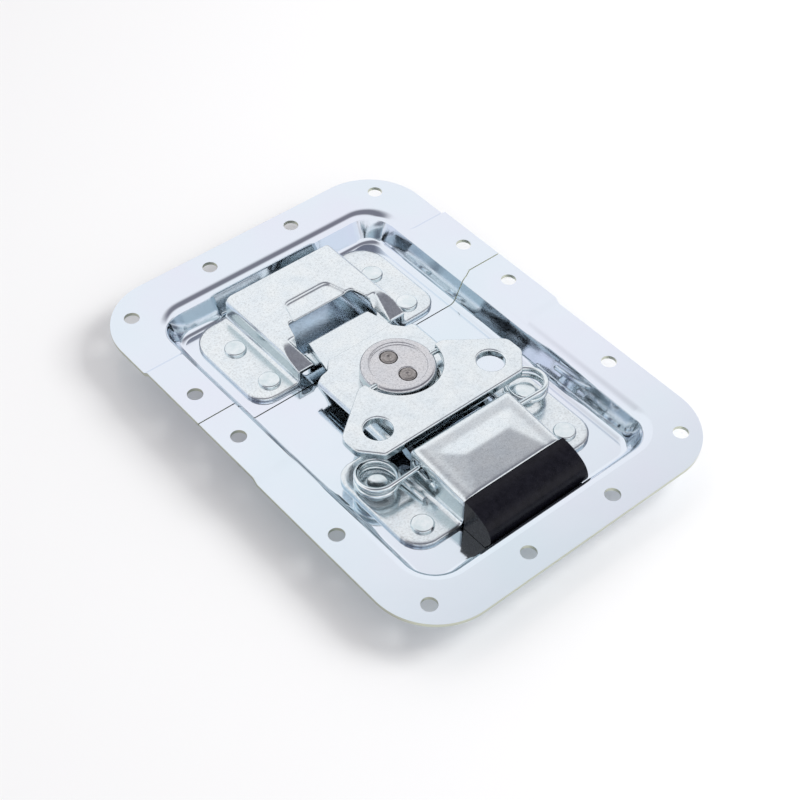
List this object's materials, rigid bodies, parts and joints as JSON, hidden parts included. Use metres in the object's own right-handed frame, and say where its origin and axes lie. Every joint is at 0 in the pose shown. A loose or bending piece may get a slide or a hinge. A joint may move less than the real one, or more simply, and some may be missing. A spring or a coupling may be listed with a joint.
{
  "type": "butterfly case latch",
  "caption": "Recessed butterfly latch for a flight case: two dish halves, a keeper and a hook drawn up by a turning hub with a folding wing.",
  "frame": {"origin": "under the middle of the dish, on the plane of the rivet tails", "axes": "+X across the latch, +Y towards the lid half and the keeper, +Z out of the recess"},
  "size_m": [0.1264, 0.1724, 0.0177],
  "materials": {
    "dish_zinc": "bright blue-tinted zinc plating, nearly mirror bright",
    "plate_zinc": "satin zinc plating with fine grain",
    "spring_steel": "bright plated wire",
    "rivet_steel": "bright zinc plated rivet",
    "pin_steel": "bare riveted steel, slightly brown",
    "black_plastic": "fine-grained black plastic"
  },
  "bodies": {
    "case_dish": {"lid_dish": "dish_zinc", "body_dish": "dish_zinc", "keeper": "plate_zinc", "keeper_rivets": "rivet_steel", "latch_bracket": "plate_zinc", "bracket_rivets": "rivet_steel", "spring_posts": "rivet_steel", "spring_left": "spring_steel", "spring_right": "spring_steel", "hinge_pin": "rivet_steel", "end_cap": "black_plastic"},
    "carrier": {"carrier": "plate_zinc"},
    "cam": {"hub": "plate_zinc", "cam_disc": "rivet_steel", "bearing_disc": "rivet_steel", "retaining_washer": "rivet_steel", "drive_rivets": "pin_steel", "wing_pins": "rivet_steel"},
    "hook": {"hook_plate": "plate_zinc"},
    "wing": {"wing": "plate_zinc"}
  },
  "joints": [
    {"name": "hook_lift", "type": "hinge", "parent": "case_dish", "child": "carrier", "pos_m": [0, -0.0402, 0.0088], "axis": [1, 0, 0], "range_deg": [0, 25]},
    {"name": "cam_turn", "type": "hinge", "parent": "carrier", "child": "cam", "pos_m": [0, 0.0005, 0.0124], "axis": [0, 0, 1], "range_deg": [0, 180]},
    {"name": "hook_slide", "type": "slide", "parent": "carrier", "child": "hook", "axis": [0, 1, 0], "range_m": [0, 0.005]},
    {"name": "wing_fold", "type": "hinge", "parent": "cam", "child": "wing", "pos_m": [0, -0.002, 0.01565], "axis": [-1, 0, 0], "range_deg": [0, 90]}
  ],
  "couplings": [
    {"joint": "hook_slide", "follows": "cam_turn", "m_per_rad": 0.0015915},
    {"joint": "wing_fold", "follows": "cam_turn", "ratio": 0.5}
  ]
}
